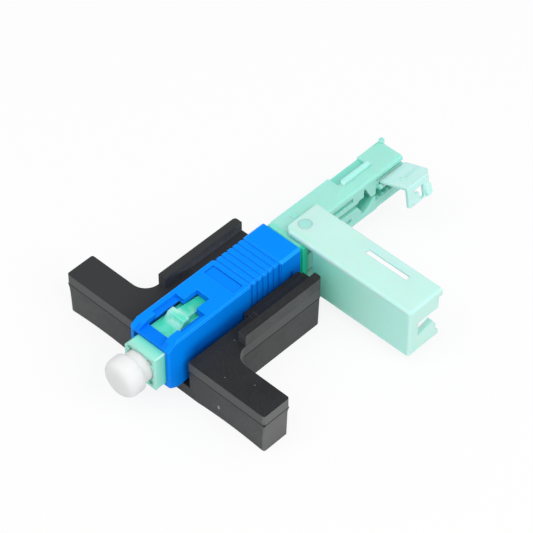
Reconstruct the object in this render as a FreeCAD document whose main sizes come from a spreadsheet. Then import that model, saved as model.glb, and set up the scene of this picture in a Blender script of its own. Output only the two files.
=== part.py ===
import FreeCAD, Part
import Sketcher
import os

# Field-fit SC fibre connector with its opening tool, in millimetres.
# The origin lies on the plug's axis at the front face of the sliding housing.
# X points to the side where the lever swings out, Y runs along the plug to the tail, Z is up.

doc = FreeCAD.newDocument("sc_fibre_connector")
sheet = doc.addObject("Spreadsheet::Sheet", "dims")
bodies = []


class Size:
    """A length that knows its number and the sheet formula that gives it."""

    def __init__(self, value, text):
        self.value = value
        self.text = text

    def __add__(self, other):
        other = as_size(other)
        return Size(self.value + other.value, "(" + self.text + " + " + other.text + ")")

    def __sub__(self, other):
        other = as_size(other)
        return Size(self.value - other.value, "(" + self.text + " - " + other.text + ")")

    def __mul__(self, other):
        other = as_size(other)
        return Size(self.value * other.value, "(" + self.text + " * " + other.text + ")")

    def __truediv__(self, other):
        other = as_size(other)
        return Size(self.value / other.value, "(" + self.text + " / " + other.text + ")")

    def __neg__(self):
        return Size(-self.value, "(0 - " + self.text + ")")


def as_size(number):
    """Take a Size as it is and wrap a plain number."""
    if isinstance(number, Size):
        return number
    return Size(float(number), "(" + repr(float(number)) + ")")


def size(name, value):
    """Put one driving dimension into the sheet."""
    cell = "A" + str(len(sheet_names) + 1)
    sheet_names.append(name)
    sheet.set(cell, str(value))
    sheet.setAlias(cell, name)
    return Size(value, "dims." + name)


sheet_names = []

# Sliding housing
housing_width = size("housing_width", 7.4)
housing_height = size("housing_height", 9.0)
housing_length = size("housing_length", 25.65)
nose_length = size("nose_length", 1.73)
nose_drop = size("nose_drop", 0.97)
nose_wall = size("nose_wall", 2.0)
housing_edge = size("housing_edge", 0.22)
nose_edge = size("nose_edge", 0.3)
rear_chamfer = size("rear_chamfer", 0.4)
slide_travel = size("slide_travel", 0.8)
window_skin = size("window_skin", 1.0)
window_channel_width = size("window_channel_width", 4.3)
window_channel_length = size("window_channel_length", 3.3)
window_recess_width = size("window_recess_width", 5.7)
window_recess_rear = size("window_recess_rear", 7.85)
window_recess_depth = size("window_recess_depth", 0.65)
window_hole_width = size("window_hole_width", 4.1)
window_hole_rear = size("window_hole_rear", 7.75)
window_neck_width = size("window_neck_width", 2.4)
window_neck_rear = size("window_neck_rear", 10.35)
label_width = size("label_width", 5.64)
label_inset = size("label_inset", 12.35)
label_front = housing_length - label_inset
label_length = size("label_length", 1.85)
label_depth = size("label_depth", 0.15)
grip_inset = size("grip_inset", 3.7)
grip_length = size("grip_length", 6.25)
grip_rear = housing_length - grip_inset
grip_front = grip_rear - grip_length
grip_relief_side = size("grip_relief_side", 0.16)
grip_relief_top = size("grip_relief_top", 0.04)
grip_groove_side = size("grip_groove_side", 0.14)
grip_groove_top = size("grip_groove_top", 0.04)
grip_groove_width = size("grip_groove_width", 0.42)
grip_pitch = size("grip_pitch", 1.07)
grip_grooves = 6
side_notch_gap = size("side_notch_gap", 1.4)
side_notch_front = grip_rear + side_notch_gap
side_notch_length = size("side_notch_length", 0.85)
side_notch_half_height = size("side_notch_half_height", 1.15)
side_notch_depth = size("side_notch_depth", 0.3)
key_width = size("key_width", 2.0)
key_height = size("key_height", 0.9)
key_front = size("key_front", 1.2)
key_length = size("key_length", 11.8)

# Plug frame
frame_width = size("frame_width", 5.9)
frame_height = size("frame_height", 6.0)
frame_reach = size("frame_reach", 1.9)
frame_rear = size("frame_rear", 10.9)
frame_cut_width = size("frame_cut_width", 0.9)
frame_cut_height = size("frame_cut_height", 1.1)
frame_edge = size("frame_edge", 0.18)
frame_clearance = size("frame_clearance", 0.1)
mouth_radius = size("mouth_radius", 2.5)
mouth_depth = size("mouth_depth", 5.8)
mouth_relief_radius = size("mouth_relief_radius", 0.5)
mouth_relief_depth = size("mouth_relief_depth", 2.2)
mouth_relief_inset = size("mouth_relief_inset", 1.05)
ear_width = size("ear_width", 3.1)
ear_height = size("ear_height", 1.2)
ear_front = size("ear_front", 3.8)
ear_ramp = size("ear_ramp", 1.3)
ear_crest = size("ear_crest", 1.0)
ear_knee = size("ear_knee", 0.35)
ear_root_depth = size("ear_root_depth", 0.3)
spine_width = size("spine_width", 2.0)
spine_front_height = size("spine_front_height", 0.95)
spine_rear_height = size("spine_rear_height", 0.35)

# Ferrule group
ferrule_radius = size("ferrule_radius", 1.25)
ferrule_front = size("ferrule_front", -4.6)
ferrule_rear = size("ferrule_rear", 6.2)
ferrule_bevel = size("ferrule_bevel", 0.25)
fibre_radius = size("fibre_radius", 0.0625)
fibre_clearance = size("fibre_clearance", 0.01)
shoulder_wall = size("shoulder_wall", 0.5)
seat_gap = size("seat_gap", 0.02)
flange_neck_radius = size("flange_neck_radius", 1.6)
flange_neck_clearance = size("flange_neck_clearance", 0.2)
flange_front_reach = size("flange_front_reach", 1.8)
flange_radius = size("flange_radius", 2.3)
flange_thickness = size("flange_thickness", 0.9)
flange_bore_clearance = size("flange_bore_clearance", 0.15)
flange_stem_radius = size("flange_stem_radius", 1.45)
flange_stem_rear = size("flange_stem_rear", 8.6)
flange_stem_bore = size("flange_stem_bore", 0.4)
spigot_length = size("spigot_length", 1.3)
spigot_clearance = size("spigot_clearance", 0.05)
spigot_bore = size("spigot_bore", 1.7)
spring_wire = size("spring_wire", 0.28)
spring_mean_radius = size("spring_mean_radius", 1.92)
spring_turns = 4

# Splice inside the rear body
splice_setback = size("splice_setback", 0.7)
splice_end_inset = size("splice_end_inset", 2.05)
stub_setback = size("stub_setback", 0.4)
splice_front = frame_rear + splice_setback
splice_rear = housing_length - splice_end_inset
splice_half_width = size("splice_half_width", 1.75)
splice_half_height = size("splice_half_height", 1.45)
splice_gap = size("splice_gap", 0.14)
splice_split = (splice_front + splice_rear) / 2
stub_rear = splice_split - stub_setback
splice_split_gap = size("splice_split_gap", 0.2)
splice_clearance = size("splice_clearance", 0.04)
groove_depth = size("groove_depth", 0.12)
notch_width = size("notch_width", 0.9)
notch_height = size("notch_height", 0.65)
clamp_wall = size("clamp_wall", 0.3)
clamp_slit = size("clamp_slit", 1.8)
clamp_inset = size("clamp_inset", 0.4)
guide_radius = size("guide_radius", 1.0)
guide_length = size("guide_length", 3.0)
guide_hole_radius = size("guide_hole_radius", 0.15)
guide_mouth_radius = size("guide_mouth_radius", 0.75)
guide_clearance = size("guide_clearance", 0.05)

# Rear body and its tail
barrel_clearance = size("barrel_clearance", 0.3)
barrel_end_wall = size("barrel_end_wall", 0.4)
collar_gap = size("collar_gap", 0.85)
collar_width = size("collar_width", 6.8)
collar_length = size("collar_length", 0.9)
tail_left = size("tail_left", -3.5)
tail_right = size("tail_right", 1.05)
tail_top = size("tail_top", 3.5)
tail_bottom = size("tail_bottom", -3.3)
collar_front = housing_length + collar_gap
tail_root = collar_front + collar_length
tail_length = size("tail_length", 22.45)
tail_end = tail_root + tail_length
tail_web = size("tail_web", 0.9)
tail_edge = size("tail_edge", 0.25)
pivot_x = size("pivot_x", 0.89)
pivot_setback = size("pivot_setback", 2.19)
pivot_y = tail_root + pivot_setback
pivot_radius = size("pivot_radius", 0.95)
pivot_clearance = size("pivot_clearance", 0.05)
pivot_wall = size("pivot_wall", 0.4)
pivot_inset = size("pivot_inset", 0.03)
pivot_block_reach = size("pivot_block_reach", 2.41)
pivot_block_rear = pivot_y + pivot_block_reach
run_top = size("run_top", 0.7)
run_bottom = size("run_bottom", -0.2)
run_depth = size("run_depth", 2.6)
slit_top = size("slit_top", 2.4)
slit_bottom = size("slit_bottom", 1.65)
slit_depth = size("slit_depth", 1.6)
slit_setback = size("slit_setback", 0.3)
slit_reach = size("slit_reach", 12.0)
slit_rear = tail_root + slit_reach
entry_reach = size("entry_reach", 13.0)
entry_front = tail_root + entry_reach
holder_length = size("holder_length", 5.65)
holder_front = tail_end - holder_length
entry_slope = size("entry_slope", 0.25)
entry_shelf = size("entry_shelf", 1.0)
entry_rise = size("entry_rise", 0.35)
entry_throat = size("entry_throat", 0.5)
entry_flare = size("entry_flare", 0.6)
entry_neck = size("entry_neck", 0.45)
trough_top = size("trough_top", 0.9)
trough_bottom = size("trough_bottom", -1.5)
shade_gap_bottom = size("shade_gap_bottom", 2.2)
shade_gap_top = size("shade_gap_top", 2.75)
shade_gap_depth = size("shade_gap_depth", 1.6)
tooth_height = size("tooth_height", 0.42)
tooth_width = size("tooth_width", 0.6)
tooth_pitch = size("tooth_pitch", 1.05)
tooth_count = 5
tooth_setback = size("tooth_setback", 0.35)
tooth_inset = size("tooth_inset", 0.15)
pocket_reach = size("pocket_reach", 10.8)
pocket_front = tail_root + pocket_reach
pocket_length = size("pocket_length", 1.0)
pocket_height = size("pocket_height", 0.6)
line_depth = size("line_depth", 0.12)
line_height = size("line_height", 0.12)
line_level = size("line_level", -2.1)
line_setback = size("line_setback", 0.15)
line_end = size("line_end", 0.4)
top_recess_reach = size("top_recess_reach", 11.6)
top_recess_front = tail_root + top_recess_reach
top_recess_length = size("top_recess_length", 6.1)
top_recess_depth = size("top_recess_depth", 0.45)
latch_rib_width = size("latch_rib_width", 0.7)
latch_rib_height = size("latch_rib_height", 0.62)
latch_rib_length = size("latch_rib_length", 5.7)
latch_rib_left = size("latch_rib_left", -1.6)
latch_rib_bevel = size("latch_rib_bevel", 0.22)
stop_nub_width = size("stop_nub_width", 0.8)
stop_nub_length = size("stop_nub_length", 1.0)
stop_nub_height = size("stop_nub_height", 0.11)
stop_nub_setback = size("stop_nub_setback", 0.3)
end_post_radius = size("end_post_radius", 0.42)
end_post_height = size("end_post_height", 2.0)
end_post_rise = size("end_post_rise", 0.5)

# Cable holder's lid
lid_axis_x = size("lid_axis_x", 1.55)
lid_axis_z = size("lid_axis_z", 1.42)
lid_open_angle = size("lid_open_angle", 20.0)
lid_setback = size("lid_setback", 0.6)
lid_front = holder_front + lid_setback
lid_length = size("lid_length", 5.45)
lid_reach = size("lid_reach", 5.31)
lid_inner = size("lid_inner", 0.15)
lid_above = size("lid_above", 0.8)
lid_thickness = size("lid_thickness", 0.35)
lid_corner = size("lid_corner", 0.95)
lid_inner_corner = size("lid_inner_corner", 0.3)
barrel_radius = size("barrel_radius", 0.36)
barrel_setback = size("barrel_setback", 0.15)
lug_thickness = size("lug_thickness", 0.5)
lug_clearance = size("lug_clearance", 0.1)
lug_radius = size("lug_radius", 0.38)
lug_root = size("lug_root", 0.3)
pin_radius = size("pin_radius", 0.2)
pin_clearance = size("pin_clearance", 0.03)
pin_length = size("pin_length", 0.55)
skirt_drop = size("skirt_drop", 3.6)
skirt_lean = size("skirt_lean", 0.176)
skirt_root = size("skirt_root", 0.04)
skirt_wall = size("skirt_wall", 0.45)
skirt_round = size("skirt_round", 0.35)
skirt_end = size("skirt_end", 0.95)
skirt_rise = size("skirt_rise", 0.23)
skirt_clearance = size("skirt_clearance", 0.25)
skirt_window_front = size("skirt_window_front", 1.45)
skirt_window_length = size("skirt_window_length", 1.8)
skirt_window_top = size("skirt_window_top", 1.1)
skirt_window_height = size("skirt_window_height", 2.2)
skirt_hook_length = size("skirt_hook_length", 0.8)
skirt_hook_height = size("skirt_hook_height", 1.4)
heel_front = size("heel_front", 3.55)
heel_length = size("heel_length", 1.1)
heel_top = size("heel_top", 1.35)
heel_height = size("heel_height", 2.1)
heel_thickness = size("heel_thickness", 0.5)
heel_bevel = size("heel_bevel", 0.35)
toe_front = size("toe_front", 0.55)
toe_rear = size("toe_rear", 2.2)
toe_height = size("toe_height", 1.3)
toe_slope = size("toe_slope", 0.6)
toe_thickness = size("toe_thickness", 0.2)
arrow_place = size("arrow_place", 2.87)
arrow_tip = size("arrow_tip", 1.35)
arrow_width = size("arrow_width", 0.35)
arrow_head = size("arrow_head", 1.3)
arrow_length = size("arrow_length", 3.3)
arrow_height = size("arrow_height", 0.1)

# Locking lever
lever_length = size("lever_length", 23.44)
lever_front_reach = size("lever_front_reach", 2.7)
lever_rear_reach = size("lever_rear_reach", 3.98)
lever_bottom_reach = size("lever_bottom_reach", 3.5)
lever_heel_reach = size("lever_heel_reach", 1.5)
lever_front = pivot_y - lever_front_reach
lever_rear = pivot_y + lever_rear_reach
lever_bottom_rear = pivot_y + lever_bottom_reach
lever_left = pivot_x - lever_heel_reach
lever_top = size("lever_top", 4.5)
lever_bottom = size("lever_bottom", -4.35)
lever_skin_clearance = size("lever_skin_clearance", 0.15)
lever_under_clearance = size("lever_under_clearance", 0.25)
lever_corner = size("lever_corner", 0.85)
lever_wall = size("lever_wall", 1.0)
lever_wall_left = size("lever_wall_left", 4.85)
lever_end_wall = size("lever_end_wall", 0.93)
lever_end_jamb = size("lever_end_jamb", 1.81)
lever_end_reach = size("lever_end_reach", 3.28)
lever_end_rear = pivot_y + lever_end_reach
lever_arm_reach = size("lever_arm_reach", 2.91)
lever_arm_rear = pivot_y + lever_arm_reach
lever_arm_top = size("lever_arm_top", -1.7)
lever_arm_foot = size("lever_arm_foot", -2.8)
lever_arm_bevel = size("lever_arm_bevel", 0.66)
lever_arm_crest = size("lever_arm_crest", -0.66)
lever_floor_lip = size("lever_floor_lip", 0.2)
lever_lip_height = size("lever_lip_height", 1.2)
cable_window_top = size("cable_window_top", 1.3)
cable_window_bottom = size("cable_window_bottom", -1.45)
lever_slot_clearance = size("lever_slot_clearance", 0.08)
lever_slot_extra = size("lever_slot_extra", 1.75)
lever_slot_relief = size("lever_slot_relief", 0.3)
lever_relief_margin = size("lever_relief_margin", 0.7)
post_relief_margin = size("post_relief_margin", 0.2)
heel_relief_margin = size("heel_relief_margin", 0.75)
heel_relief_rear = size("heel_relief_rear", 0.5)
heel_relief_wall = size("heel_relief_wall", 0.04)

# Dust cap
cap_stem_radius = size("cap_stem_radius", 2.2)
cap_stem_rear = size("cap_stem_rear", 0.6)
cap_head_rear = size("cap_head_rear", -3.6)
cap_head_radius = size("cap_head_radius", 3.0)
cap_head_front = size("cap_head_front", -6.35)
cap_round = size("cap_round", 1.0)
cap_bore_clearance = size("cap_bore_clearance", 0.06)
cap_floor_gap = size("cap_floor_gap", 0.4)

# Opening tool
tool_half_span = size("tool_half_span", 18.91)
wing_front = size("wing_front", 2.54)
wing_rear = size("wing_rear", 7.43)
wing_top = size("wing_top", 0.61)
tool_base = size("tool_base", -6.69)
tool_split = size("tool_split", -1.3)
tool_draft = size("tool_draft", 1.2)
tool_step = size("tool_step", 0.06)
tool_corner = size("tool_corner", 0.5)
rail_outer = size("rail_outer", 8.35)
rail_wall = size("rail_wall", 1.35)
rail_front = size("rail_front", 9.96)
rail_setback = size("rail_setback", 0.58)
rail_rear = housing_length - rail_setback
rail_top = size("rail_top", 2.61)
web_fillet = size("web_fillet", 2.45)
slot_half_width = size("slot_half_width", 4.82)
ledge_clearance = size("ledge_clearance", 0.25)
ledge_front = size("ledge_front", 14.2)
ledge_top = size("ledge_top", 1.0)
ledge_step_length = size("ledge_step_length", 0.8)
ledge_step_top = size("ledge_step_top", 0.8)
cradle_clearance = size("cradle_clearance", 0.25)
arch_rise = size("arch_rise", 0.35)
arch_inner = size("arch_inner", 6.2)
arch_outer = size("arch_outer", 18.0)
wedge_base = size("wedge_base", 1.1)
wedge_tip = size("wedge_tip", 0.36)
wedge_top = size("wedge_top", -0.95)
wedge_length = size("wedge_length", 1.6)
wedge_setback = size("wedge_setback", 2.0)
wedge_inset = size("wedge_inset", 4.2)
wedge_front = splice_front + wedge_setback
wedge_rear = splice_rear - wedge_inset
wedge_shoulder = size("wedge_shoulder", 0.1)
wedge_point = size("wedge_point", 0.4)
wedge_side_clearance = size("wedge_side_clearance", 0.25)

# Small lengths used all over
overlap = size("overlap", 0.1)
beyond = size("beyond", 1.0)


def bind(item, prop, length):
    """Tie one property to its sheet formula."""
    item.setExpression(prop, as_size(length).text)


def path(*points):
    """A closed outline of straight edges."""
    def draw(sketch):
        first = sketch.GeometryCount
        count = len(points)
        values = [(as_size(a).value, as_size(b).value) for a, b in points]
        for index in range(count):
            a = values[index]
            b = values[(index + 1) % count]
            start = FreeCAD.Vector(a[0], a[1], 0)
            sketch.addGeometry(Part.LineSegment(start, FreeCAD.Vector(b[0], b[1], 0)))
        for index in range(count):
            after = first + (index + 1) % count
            sketch.addConstraint(Sketcher.Constraint("Coincident", first + index, 2, after, 1))
        for index in range(count):
            across = Sketcher.Constraint("DistanceX", -1, 1, first + index, 1, values[index][0])
            number = sketch.addConstraint(across)
            bind(sketch, "Constraints[%d]" % number, points[index][0])
            along = Sketcher.Constraint("DistanceY", -1, 1, first + index, 1, values[index][1])
            number = sketch.addConstraint(along)
            bind(sketch, "Constraints[%d]" % number, points[index][1])
    return draw


def rectangle(left, right, low, high):
    """A closed rectangle between four limits."""
    return path((left, low), (right, low), (right, high), (left, high))


def bevelled(half_across, half_along, bevel):
    """A closed rectangle about the plug's axis with its four corners cut off."""
    return path((-half_across + bevel, -half_along), (half_across - bevel, -half_along),
                (half_across, -half_along + bevel), (half_across, half_along - bevel),
                (half_across - bevel, half_along), (-half_across + bevel, half_along),
                (-half_across, half_along - bevel), (-half_across, -half_along + bevel))


def circle(across, along, radius):
    """A full circle."""
    def draw(sketch):
        first = sketch.GeometryCount
        across_value = as_size(across).value
        along_value = as_size(along).value
        radius_value = as_size(radius).value
        centre = FreeCAD.Vector(across_value, along_value, 0)
        sketch.addGeometry(Part.Circle(centre, FreeCAD.Vector(0, 0, 1), radius_value))
        number = sketch.addConstraint(Sketcher.Constraint("Radius", first, radius_value))
        bind(sketch, "Constraints[%d]" % number, radius)
        number = sketch.addConstraint(Sketcher.Constraint("DistanceX", -1, 1, first, 3, across_value))
        bind(sketch, "Constraints[%d]" % number, across)
        number = sketch.addConstraint(Sketcher.Constraint("DistanceY", -1, 1, first, 3, along_value))
        bind(sketch, "Constraints[%d]" % number, along)
    return draw


class Piece:
    """One solid, built from sketches that lie square to its own axes."""

    def __init__(self, name):
        self.body = doc.addObject("PartDesign::Body", name)
        self.body.Label = name
        bodies.append(self.body)

    def plane(self, role):
        """The body's own origin plane or axis with that role."""
        return [item for item in self.body.Origin.OriginFeatures if item.Role == role][0]

    def sketch(self, axis, place):
        """A sketch square to one axis at a place along it."""
        roles = {"X": "YZ_Plane", "Y": "XZ_Plane", "Z": "XY_Plane"}
        sketch = self.body.newObject("Sketcher::SketchObject", self.body.Name + "_sketch")
        sketch.AttachmentSupport = [(self.plane(roles[axis]), "")]
        sketch.MapMode = "FlatFace"
        place = as_size(place)
        bind(sketch, "AttachmentOffset.Base.z", -place if axis == "Y" else place)
        return sketch

    def extrude(self, kind, axis, start, end, *outlines):
        """Add or cut a prism from start to end along one axis."""
        sketch = self.sketch(axis, start)
        for outline in outlines:
            outline(sketch)
        feature = self.body.newObject("PartDesign::" + kind, self.body.Name + "_" + kind.lower())
        feature.Profile = sketch
        bind(feature, "Length", as_size(end) - start)
        feature.Reversed = (axis == "Y") == (kind == "Pad")
        self.body.Tip = feature
        return feature

    def add(self, axis, start, end, *outlines):
        """Add a prism."""
        return self.extrude("Pad", axis, start, end, *outlines)

    def cut(self, axis, start, end, *outlines):
        """Cut a prism away."""
        return self.extrude("Pocket", axis, start, end, *outlines)

    def turn(self, kind, *points):
        """Turn a profile, given along the plug and outwards from it, about the plug's axis."""
        sketch = self.sketch("X", 0)
        path(*points)(sketch)
        feature = self.body.newObject("PartDesign::" + kind, self.body.Name + "_" + kind.lower())
        feature.Profile = sketch
        feature.ReferenceAxis = (sketch, ["H_Axis"])
        feature.Angle = 360
        self.body.Tip = feature
        return feature

    def mirror(self, role, features):
        """Repeat features on the far side of an origin plane."""
        feature = self.body.newObject("PartDesign::Mirrored", self.body.Name + "_mirror")
        feature.Originals = features
        feature.MirrorPlane = (self.plane(role), [""])
        self.body.Tip = feature
        return feature

    def repeat(self, role, features, pitch, count):
        """Repeat features along an origin axis."""
        feature = self.body.newObject("PartDesign::LinearPattern", self.body.Name + "_pattern")
        feature.Originals = features
        feature.Direction = (self.plane(role), [""])
        bind(feature, "Length", as_size(pitch) * (count - 1))
        feature.Occurrences = count
        self.body.Tip = feature
        return feature

    def dress(self, kind, amount, wanted):
        """Round or bevel the edges whose two ends are both wanted."""
        doc.recompute()
        names = []
        for number, edge in enumerate(self.body.Tip.Shape.Edges, start=1):
            ends = [vertex.Point for vertex in edge.Vertexes]
            if len(ends) == 2 and wanted(ends[0], ends[1]):
                names.append("Edge" + str(number))
        base = self.body.Tip
        feature = self.body.newObject("PartDesign::" + kind, self.body.Name + "_" + kind.lower())
        feature.Base = (base, names)
        bind(feature, "Radius" if kind == "Fillet" else "Size", amount)
        self.body.Tip = feature
        return feature


def near(a, b):
    """Two numbers that are the same place."""
    return abs(a - b) < 0.001


def measure(length):
    """The number of a size, to sort by."""
    return length.value


half_width = housing_width / 2
half_height = housing_height / 2
frame_half_width = frame_width / 2
frame_half_height = frame_height / 2
cavity_half_width = frame_half_width + frame_clearance
cavity_half_height = half_height - window_skin
barrel_half_height = cavity_half_height - barrel_clearance
wedge_slot_front = wedge_front - wedge_side_clearance
wedge_slot_rear = wedge_rear + wedge_length + wedge_side_clearance


def make_grip_housing():
    """The blue sliding housing with its windows, label recess, grip and key."""
    piece = Piece("grip_housing")
    nose_half = half_height - nose_drop
    side = path((0, -nose_half), (nose_length, -half_height), (housing_length, -half_height),
                (housing_length, half_height), (nose_length, half_height), (0, nose_half))
    piece.add("X", -half_width, half_width, side)
    piece.dress("Fillet", nose_edge, lambda a, b: near(a.y, 0) and near(b.y, 0) and near(a.x, b.x))
    outer = rectangle(-half_width - beyond, half_width + beyond, -half_height - beyond,
                      half_height + beyond)
    piece.cut("Y", -beyond, grip_front, outer, bevelled(half_width, half_height, housing_edge))
    piece.cut("Y", grip_front, grip_rear, outer,
              bevelled(half_width - grip_relief_side, half_height - grip_relief_top, housing_edge))
    piece.cut("Y", grip_rear, housing_length + beyond, outer,
              bevelled(half_width, half_height, rear_chamfer))
    deep_side = grip_relief_side + grip_groove_side
    deep_top = grip_relief_top + grip_groove_top
    groove_start = grip_front + (grip_rear - grip_front - grip_pitch * (grip_grooves - 1)
                                 - grip_groove_width) / 2
    groove = piece.cut("Y", groove_start, groove_start + grip_groove_width, outer,
                       bevelled(half_width - deep_side, half_height - deep_top, housing_edge))
    piece.repeat("Y_Axis", [groove], grip_pitch, grip_grooves)
    notch = piece.cut("X", half_width - side_notch_depth, half_width + beyond,
                      rectangle(side_notch_front, side_notch_front + side_notch_length,
                                -side_notch_half_height, side_notch_half_height))
    piece.mirror("YZ_Plane", [notch])

    channel_floor = half_height - window_skin
    above = half_height + beyond
    channel = piece.cut("Z", channel_floor, above,
                        rectangle(-window_channel_width / 2, window_channel_width / 2,
                                  -beyond, window_channel_length))
    recess = piece.cut("Z", half_height - window_recess_depth, above,
                       rectangle(-window_recess_width / 2, window_recess_width / 2,
                                 window_channel_length, window_recess_rear))
    hole = piece.cut("Z", frame_half_height, above,
                     rectangle(-window_hole_width / 2, window_hole_width / 2,
                               nose_wall, window_hole_rear))
    neck = piece.cut("Z", frame_half_height, above,
                     rectangle(-window_neck_width / 2, window_neck_width / 2,
                               window_hole_rear - overlap, window_neck_rear))
    piece.mirror("XY_Plane", [channel, recess, hole, neck])
    piece.cut("Z", half_height - label_depth, above,
              rectangle(-label_width / 2, label_width / 2, label_front, label_front + label_length))
    mouth = rectangle(-cavity_half_width, cavity_half_width,
                      -frame_half_height - frame_clearance, frame_half_height + frame_clearance)
    piece.cut("Y", -beyond, nose_wall + beyond, mouth)
    chamber = rectangle(-cavity_half_width, cavity_half_width, -cavity_half_height, cavity_half_height)
    piece.cut("Y", nose_wall, housing_length + beyond, chamber)
    piece.cut("Z", -half_height - beyond, -frame_half_height,
              rectangle(-wedge_base / 2 - wedge_side_clearance, wedge_base / 2 + wedge_side_clearance,
                        wedge_slot_front - slide_travel, wedge_slot_rear))
    piece.add("X", -half_width - key_height, -half_width,
              rectangle(key_front, key_front + key_length, -key_width / 2, key_width / 2))


def make_plug_frame():
    """The inner frame that the adapter's hooks hold by its two ears."""
    piece = Piece("plug_frame")
    section = path((-frame_half_width, -frame_half_height + frame_cut_height),
                   (-frame_half_width + frame_cut_width, -frame_half_height),
                   (frame_half_width, -frame_half_height), (frame_half_width, frame_half_height),
                   (-frame_half_width + frame_cut_width, frame_half_height),
                   (-frame_half_width, frame_half_height - frame_cut_height))
    piece.add("Y", -frame_reach, frame_rear, section)
    front = -frame_reach.value
    piece.dress("Fillet", frame_edge, lambda a, b: near(a.y, front) and near(b.y, front))
    root = frame_half_height - ear_root_depth
    ear = piece.add("X", -ear_width / 2, ear_width / 2,
                    path((ear_front - ear_root_depth, root), (ear_front, frame_half_height),
                         (ear_front + ear_ramp / 2, frame_half_height + ear_height * ear_knee),
                         (ear_front + ear_ramp, frame_half_height + ear_height),
                         (ear_front + ear_ramp + ear_crest, frame_half_height + ear_height),
                         (ear_front + ear_ramp + ear_crest, root)))
    spine_front = ear_front + ear_ramp + ear_crest - overlap
    spine = piece.add("X", -spine_width / 2, spine_width / 2,
                      path((spine_front, root), (spine_front, frame_half_height + spine_front_height),
                           (frame_rear, frame_half_height + spine_rear_height), (frame_rear, root)))
    piece.mirror("XY_Plane", [ear, spine])
    piece.cut("Y", -frame_reach - beyond, mouth_depth - frame_reach, circle(0, 0, mouth_radius))
    shoulder_rear = mouth_depth - frame_reach + shoulder_wall
    piece.cut("Y", -frame_reach, shoulder_rear,
              circle(0, 0, flange_neck_radius + flange_neck_clearance))
    piece.cut("Y", shoulder_rear, frame_rear + beyond,
              circle(0, 0, flange_radius + flange_bore_clearance))
    relief_x = frame_half_width - mouth_relief_inset
    relief_z = frame_half_height - mouth_relief_inset
    corners = [circle(relief_x * side, relief_z * rise, mouth_relief_radius)
               for side in (-1, 1) for rise in (-1, 1)]
    piece.cut("Y", -frame_reach - beyond, mouth_relief_depth - frame_reach, *corners)


flange_seat = mouth_depth - frame_reach + shoulder_wall + seat_gap
spring_front = flange_seat + flange_thickness + seat_gap
spring_rear = frame_rear - spigot_length - seat_gap


def make_ferrule_group():
    """The ferrule, its metal flange, the fibre stub and the spring behind them."""
    bore = fibre_radius + fibre_clearance
    ferrule = Piece("ferrule")
    ferrule.turn("Revolution", (ferrule_front, bore), (ferrule_front, ferrule_radius - ferrule_bevel),
                 (ferrule_front + ferrule_bevel, ferrule_radius), (ferrule_rear, ferrule_radius),
                 (ferrule_rear, bore))
    flange = Piece("ferrule_flange")
    flange_front = flange_seat - flange_front_reach
    disc_rear = flange_seat + flange_thickness
    flange.turn("Revolution", (flange_front, ferrule_radius), (flange_front, flange_neck_radius),
                (flange_seat, flange_neck_radius), (flange_seat, flange_radius),
                (disc_rear, flange_radius), (disc_rear, flange_stem_radius),
                (flange_stem_rear, flange_stem_radius), (flange_stem_rear, flange_stem_bore),
                (ferrule_rear, flange_stem_bore), (ferrule_rear, ferrule_radius))
    stub = Piece("fibre_stub")
    stub.add("Y", ferrule_front, stub_rear, circle(0, 0, fibre_radius))
    spring = Piece("ferrule_spring")
    sketch = spring.sketch("X", 0)
    rectangle(spring_front, spring_front + spring_wire, spring_mean_radius - spring_wire / 2,
              spring_mean_radius + spring_wire / 2)(sketch)
    coil = spring.body.newObject("PartDesign::AdditiveHelix", "ferrule_spring_coil")
    coil.Profile = sketch
    coil.ReferenceAxis = (sketch, ["H_Axis"])
    coil.Mode = "height-turns-angle"
    bind(coil, "Height", spring_rear - spring_front - spring_wire)
    coil.Turns = spring_turns
    spring.body.Tip = coil


def make_splice():
    """The V-groove base, its two covers and the metal sleeve that presses them together."""
    half_gap = splice_gap / 2
    notch_top = -splice_half_height + notch_height
    sides = (("splice_base", -1, splice_front, splice_rear),
             ("splice_cover_front", 1, splice_front, splice_split - splice_split_gap / 2),
             ("splice_cover_rear", 1, splice_split + splice_split_gap / 2, splice_rear))
    for name, side, front, rear in sides:
        piece = Piece(name)
        outer = splice_half_width * side
        seam = half_gap * side
        if side < 0:
            section = path((outer, -splice_half_height), (seam, -splice_half_height),
                           (seam, -groove_depth), (seam - groove_depth, 0), (seam, groove_depth),
                           (seam, splice_half_height), (outer, splice_half_height))
        else:
            section = rectangle(seam, outer, -splice_half_height, splice_half_height)
        piece.add("Y", front, rear, section)
        for start in (wedge_front, wedge_rear):
            if front.value < start.value < rear.value:
                notch = rectangle(-notch_width / 2, notch_width / 2, -splice_half_height - beyond, notch_top)
                piece.cut("Y", start - wedge_side_clearance, start + wedge_length + wedge_side_clearance,
                          notch)
    clamp = Piece("clamp_sleeve")
    inner_x = splice_half_width + splice_clearance
    inner_z = splice_half_height + splice_clearance
    outer_x = inner_x + clamp_wall
    outer_z = inner_z + clamp_wall
    section = path((-clamp_slit / 2, -outer_z), (-outer_x, -outer_z), (-outer_x, outer_z),
                   (outer_x, outer_z), (outer_x, -outer_z), (clamp_slit / 2, -outer_z),
                   (clamp_slit / 2, -inner_z), (inner_x, -inner_z), (inner_x, inner_z),
                   (-inner_x, inner_z), (-inner_x, -inner_z), (-clamp_slit / 2, -inner_z))
    clamp.add("Y", splice_front + clamp_inset, splice_rear - clamp_inset, section)
    guide = Piece("fibre_guide")
    guide_front = splice_rear + barrel_end_wall
    guide.turn("Revolution", (guide_front, guide_hole_radius), (guide_front, guide_radius),
               (guide_front + guide_length, guide_radius),
               (guide_front + guide_length, guide_mouth_radius),
               (guide_front + guide_length / 3, guide_hole_radius))


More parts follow.
